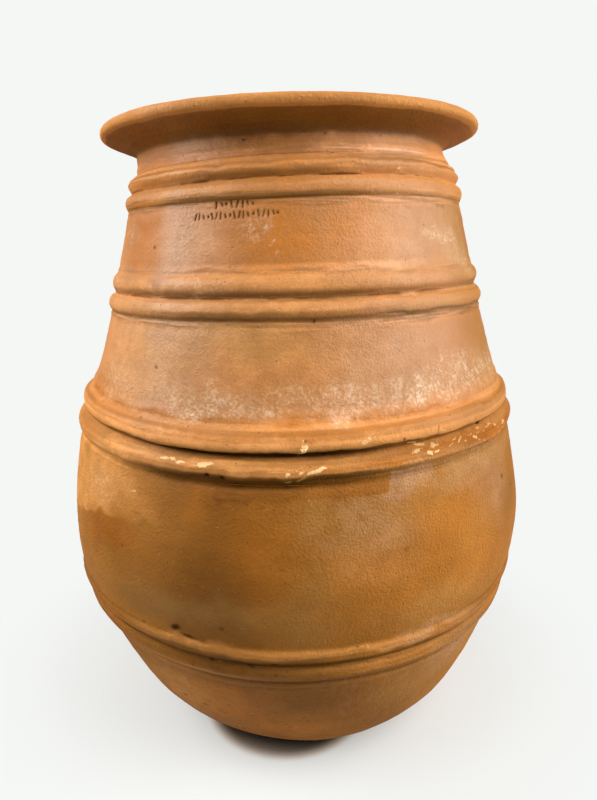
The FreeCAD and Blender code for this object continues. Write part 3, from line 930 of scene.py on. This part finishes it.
class Graph:
    """Short way to write a node tree."""

    def __init__(self, tree):
        self.tree = tree
        tree.nodes.clear()

    def node(self, kind, settings=None, **inputs):
        """Adds one node; inputs go by name, with _ for a space, or by place, such as i0."""
        made = self.tree.nodes.new("ShaderNode" + kind)
        for key, value in (settings or {}).items():
            setattr(made, key, value)
        for key, value in inputs.items():
            place = int(key[1:]) if key[0] == "i" and key[1:].isdigit() else key.replace("_", " ")
            self.feed(made.inputs[place], value)
        return made

    def feed(self, socket, value):
        if isinstance(value, Value):
            value = value.socket
        if isinstance(value, bpy.types.Node):
            value = value.outputs[0]
        if isinstance(value, bpy.types.NodeSocket):
            self.tree.links.new(value, socket)
        elif isinstance(value, tuple) and socket.type == "RGBA":
            socket.default_value = (*value, 1)
        else:
            socket.default_value = value

    def value(self, node, output=0):
        return Value(self, node.outputs[output])

    def maths(self, operation, *values):
        inputs = {f"i{place}": value for place, value in enumerate(values)}
        return self.value(self.node("Math", {"operation": operation}, **inputs))

    def mix(self, share, a, b, blend="MIX"):
        """Colour a turned towards colour b by the share."""
        made = self.node("Mix", {"data_type": "RGBA", "blend_type": blend}, i0=share, i6=a, i7=b)
        return made.outputs[2]

    def noise(self, where, scale, detail, roughness):
        made = self.node("TexNoise", Vector=where, Scale=scale, Detail=detail, Roughness=roughness)
        return self.value(made)


def node_material(name):
    """A new material and the empty graph of its nodes."""
    material = bpy.data.materials.new(name)
    material.use_nodes = True
    return material, Graph(material.node_tree)


BODY_DARK, BODY_LIGHT = (0.37, 0.128, 0.009), (0.5, 0.19, 0.022)
UPPER_DARK, UPPER_LIGHT = (0.54, 0.205, 0.05), (0.66, 0.275, 0.09)
TAN = (0.66, 0.37, 0.19)
PALE = (0.92, 0.4, 0.11)
LIME = (0.9, 0.7, 0.47)
SLIP = (0.95, 0.6, 0.25)
# near black, painted into pits, chips, pinholes, nicks and the crack; in the nicks and the crack it is
# painted shade
DARK_MARK_AND_SHADE = (0.045, 0.016, 0.004)
# dark brown: grime in tool lines and specks, and painted shade in hollows and on faces turned down
GRIME_AND_SHADE = (0.12, 0.052, 0.008)
DUST = (0.5, 0.26, 0.1)
# laid over the clay in this order: trace, its most, colour
LAYERS = [
    ("umber", 1, (0.2, 0.068, 0.004)), ("khaki", 1, (0.44, 0.215, 0.05)),
    ("flush", 1, (0.6, 0.19, 0.015)), ("tan", 1, TAN), ("pale", 0.95, PALE),
    ("red", 1, (0.46, 0.125, 0.006)),
]
# how fast each colour fades where painted shade and darker clay darken it
LIGHT_AND_TONE_WEIGHTS = {"Red": 1, "Green": 1.06, "Blue": 1.4}


class Clay:
    """The grain of fired clay and the traces on its vertices, as values of one material's graph."""

    def __init__(self, g):
        self.g = g
        here = g.node("TexCoord").outputs["Object"]
        upright = g.node("Mapping", Vector=here, Scale=(1, 1, 0.1))
        level = g.node("Mapping", Vector=here, Scale=(0.05, 0.05, 1))
        self.cloud = g.noise(here, 6, 3, 0.55)
        self.mottle = g.noise(here, 38, 4, 0.62)
        self.ragged = self.mottle.ramp(0.25, 0.75, -0.3, 0.3)
        self.bumps = g.noise(here, 290, 3, 0.62)
        self.fine = g.noise(here, 520, 2, 0.6)
        self.strokes = g.noise(here, 210, 3, 0.6)
        self.runs = g.noise(upright, 150, 3, 0.65)
        self.lines = g.noise(level, 330, 2, 0.55)
        speck = g.node("TexVoronoi", {"feature": "F1"}, Vector=here, Scale=190)
        away = g.value(speck, "Distance")
        chosen = g.node("SeparateColor", Color=speck.outputs["Color"])
        self.dark_speck = away.ramp(0.1, 0.24, 1, 0) * g.value(chosen, 0).ramp(0.93, 0.95)
        # pale specks on the grain: lime, and painted glints on the tips of the bumps
        self.lime_and_glint_speck = away.ramp(0.08, 0.22, 1, 0) * g.value(chosen, 1).ramp(0.965, 0.98)
        for label in TRACES + ["inside"]:
            setattr(self, label, g.value(g.node("Attribute", {"attribute_name": label}), "Fac"))

    def worn(self, label):
        """A trace whose middle strengths are broken up by the mottle."""
        amount = getattr(self, label)
        return (amount + amount * (1 - amount) * self.ragged * 2).held()

    def bloom(self):
        """Lime bloom: on the raised grain, or in runs where the trace is streaky."""
        raised = (self.strokes * 0.65 + self.bumps * 0.35).ramp(0.48, 0.57)
        plain = raised * self.mottle.ramp(0.35, 0.65, 0.25, 1)
        run = self.runs.ramp(0.42, 0.62) * self.bumps.ramp(0.35, 0.6, 0.4, 1)
        bloom = plain * (1 - self.streaky) + (run * 0.4 + plain * 0.6) * self.streaky
        return (self.haze * (bloom + 0.1)).held()

    def colour(self, lightness):
        g, cloudy = self.g, self.cloud.ramp(0.35, 0.65)
        colour = g.mix(
            self.upper, g.mix(cloudy, BODY_DARK, BODY_LIGHT), g.mix(cloudy, UPPER_DARK, UPPER_LIGHT)
        )
        for label, most, paint in LAYERS:
            colour = g.mix(self.worn(label) * most, colour, paint)
        for share, paint in [
            # painted light on crests and faces turned up, painted shade with grime in hollows and on faces
            # turned down
            (self.crest * 0.3, PALE),
            (self.hollow * 0.8, GRIME_AND_SHADE),
            (self.combed * self.lines.ramp(0.4, 0.62, 0.55, 0), GRIME_AND_SHADE),
            (self.bloom(), LIME),
            (self.streaky * self.runs.ramp(0.45, 0.7, 0, 0.16), TAN),
            ((self.slip + self.fine.ramp(0.2, 0.8, -0.3, 0.3)).ramp(0.32, 0.62, 0, 0.92), SLIP),
            (self.worn("soot") * 0.95, DARK_MARK_AND_SHADE),
            (self.inside * self.mottle.ramp(0.3, 0.7, 0.3, 0.8), DUST),
            (self.dark_speck * 0.75, GRIME_AND_SHADE),
            (self.lime_and_glint_speck * 0.35, LIME),
        ]:
            colour = g.mix(share, colour, paint)
        tone = self.bumps.ramp(0.25, 0.75, 0.94, 1.06) + self.fine.ramp(0.3, 0.7, -0.04, 0.04)
        tone = (tone + self.mottle.ramp(0.25, 0.75, -0.05, 0.05)) * lightness
        light_and_tone = g.node("CombineColor")
        for key, weight in LIGHT_AND_TONE_WEIGHTS.items():
            g.feed(light_and_tone.inputs[key], tone * g.maths("EXPONENT", self.shade * weight))
        return g.mix(1, colour, light_and_tone, "MULTIPLY")

    def roughness(self):
        rough = self.gloss.ramp(0, 1, 0.62, 0.42) + self.fine.ramp(0.3, 0.7, -0.05, 0.05)
        rough += self.cloud.ramp(0.3, 0.7, -0.04, 0.04)
        return (rough + self.hollow * 0.25 + self.inside * 0.3).held()

    def sheen(self):
        """How much it mirrors: most where it is worn smooth, least in the hollows' painted shade and grime,
        on the dark marks, and where painted shade darkens the clay.
        """
        sheen = self.gloss.ramp(0, 1, 0.1, 0.42) * self.hollow.ramp(0, 0.8, 1, 0.4)
        sheen *= self.soot.ramp(0, 0.7, 1, 0.1) * self.red.ramp(0, 0.8, 1, 0.3)
        return sheen * self.shade.ramp(-0.8, 0, 0.4, 1)

    def height(self):
        """Height of the grain, for the bump."""
        height = self.bumps + self.fine * 0.25 + self.mottle * 0.45 + self.lines * self.combed * 0.5
        height += self.runs * self.streaky * 0.15 - self.dark_speck * 0.25 + self.lime_and_glint_speck * 0.2
        return height * self.upper.ramp(0, 0.8, 1.6, 0.7)


def fired_clay(name, lightness):
    """Unglazed fired clay, coloured by the traces on its vertices; lightness scales the whole."""
    material, g = node_material(name)
    clay = Clay(g)
    bump = g.node("Bump", Strength=1, Distance=1.4 * MM, Height=clay.height())
    shader = g.node(
        "BsdfPrincipled", Base_Color=clay.colour(lightness), Roughness=clay.roughness(),
        Specular_IOR_Level=clay.sheen(), Normal=bump,
    )
    g.node("OutputMaterial", Surface=shader)
    return material


wall_clay = fired_clay("fired_clay_wall", 1)
coil_clay = fired_clay("fired_clay_coil", 1.03)
lute_clay = fired_clay("fired_clay_lute", 0.85)

for name in RINGS:
    piece(name, wall_clay, FINE_STEP if name in FINE_RINGS else WALL_STEP)
for name in COILS:
    piece(name, coil_clay, COIL_STEP)
for name in LUTES:
    piece(name, lute_clay, LUTE_STEP)

# -------- camera
SENSOR = 36               # millimetres, along the picture's height
LENS = 26.8875            # millimetres: a wide view from close to the jar
EYE = Vector((0, -0.973, 0.7366))
PITCH, YAW, ROLL = 0.25162, math.radians(0.315), 0.01659    # down, right and clockwise, in radians
camera = placed("camera", bpy.data.cameras.new("camera"))
camera.data.lens = LENS
camera.data.sensor_width = SENSOR
camera.matrix_world = (
    Matrix.Translation(EYE)
    @ Matrix.Rotation(-YAW, 4, "Z")
    @ Matrix.Rotation(math.pi / 2 - PITCH, 4, "X")
    @ Matrix.Rotation(-ROLL, 4, "Z")
)
bpy.context.scene.camera = camera

# -------- studio: paper sweep, softboxes and sky
PAPER = (0.915, 0.93, 0.91)        # what the camera sees of the paper far from the jar
PAPER_WHITE = 0.6                 # how much light the paper gives back near the jar
PAPER_GLOW = 0.35                  # light that the paper seems to give off itself there
PAINTED_SHADOW_SPOT = (-0.028, -0.135, 0)  # a painted contact shadow: under the raised edge of the foot the floor is painted nearly black
WHITE, BLACK = (1, 1, 1), (0, 0, 0)


def sweep(material, width, depth, rise, bend, steps=16):
    """Pale floor that curves up into the backdrop, on which the jar stands."""
    line = [(-depth, 0)]
    for step in range(steps + 1):
        turn = math.pi / 2 * step / steps
        line.append((depth - bend + bend * math.sin(turn), bend - bend * math.cos(turn)))
    line.append((depth, rise))
    verts = [(x, y, z) for y, z in line for x in (-width, width)]
    faces = [(2 * i, 2 * i + 1, 2 * i + 3, 2 * i + 2) for i in range(len(line) - 1)]
    mesh = bpy.data.meshes.new("sweep")
    mesh.from_pydata(verts, [], faces)
    mesh.polygons.foreach_set("use_smooth", np.ones(len(faces), bool))
    mesh.materials.append(material)
    placed("sweep", mesh)


def paper(name):
    """White studio paper that takes soft shadows near the jar, darkened and browned further by a painted
    contact shadow around the foot, and looks evenly bright farther off.
    """
    material, g = node_material(name)
    seen = g.value(g.node("LightPath"), "Is Camera Ray")
    place = g.node("NewGeometry").outputs["Position"]
    away = g.value(g.node("VectorMath", {"operation": "LENGTH"}, i0=place), "Value")
    off = g.value(g.node("VectorMath", {"operation": "DISTANCE"}, i0=place, i1=PAINTED_SHADOW_SPOT), "Value")
    # ambient occlusion and the spot under the foot darken the paper's glow and tint it brown: a painted
    # contact shadow
    painted_shadow = g.value(g.node("AmbientOcclusion", {"samples": 16}, Distance=0.053), "AO")
    painted_shadow = (painted_shadow + off.ramp(0.093, 0.155)).held()
    warmth = g.mix(painted_shadow.ramp(0.1, 0.95), (1, 0.66, 0.42), WHITE)
    dim = painted_shadow.ramp(0.12, 0.85, 0.012, 1)
    matt = g.mix(dim, BLACK, (PAPER_WHITE * 0.97, PAPER_WHITE, PAPER_WHITE * 0.99))
    matt = g.node("BsdfDiffuse", Color=g.mix(1, matt, warmth, "MULTIPLY"))
    glow = g.mix(1, (0.97, 1, 0.97), warmth, "MULTIPLY")
    glow = g.node("Emission", Color=glow, Strength=seen * painted_shadow.ramp(0.15, 0.9, 0, PAPER_GLOW))
    near = g.node("AddShader", i0=matt, i1=glow)
    even = g.node("Emission", Color=PAPER, Strength=1)
    g.node("OutputMaterial", Surface=g.node("MixShader", i0=seen * away.ramp(0.2, 0.62), i1=near, i2=even))
    return material


def softbox(name, azimuth, elevation, power, width=1.4, height=1.2, distance=2.2):
    """Rectangular light of so many watts, aimed at the middle of the jar; sizes in metres."""
    turn, lift = math.radians(azimuth), math.radians(elevation)
    away = Vector((math.sin(turn) * math.cos(lift), -math.cos(turn) * math.cos(lift), math.sin(lift)))
    lamp = bpy.data.lights.new(name, "AREA")
    lamp.shape = "RECTANGLE"
    lamp.size, lamp.size_y = width, height
    lamp.energy = power
    made = placed(name, lamp)
    made.location = (cad_low + cad_high) / 2 + away * distance
    made.rotation_euler = away.to_track_quat("Z", "Y").to_euler()


sweep(paper("studio_paper"), width=6, depth=4.5, rise=6, bend=1.6)
softbox("left_box", -95, 30, 32.5)
softbox("front_left_box", -50, 45, 13.2, width=1.2)
softbox("front_right_box", 50, 45, 25, width=1.2)
softbox("right_box", 80, 28, 16.2)
softbox("low_right_box", 75, 5, 18.7)
softbox("gleam_box", -66, 16, 4, width=0.5, height=0.5, distance=2)

# past the sweep the camera sees more paper, but only a dim room lights the jar
world = bpy.data.worlds.new("studio")
bpy.context.scene.world = world
world.use_nodes = True
sky = Graph(world.node_tree)
dim_room = sky.node("Background", Color=WHITE, Strength=0.02)
beyond_paper = sky.node("Background", Color=PAPER, Strength=1)
by_camera = sky.node("LightPath").outputs["Is Camera Ray"]
sky.node("OutputWorld", Surface=sky.node("MixShader", i0=by_camera, i1=dim_room, i2=beyond_paper))
bpy.context.scene.view_settings.view_transform = "Standard"
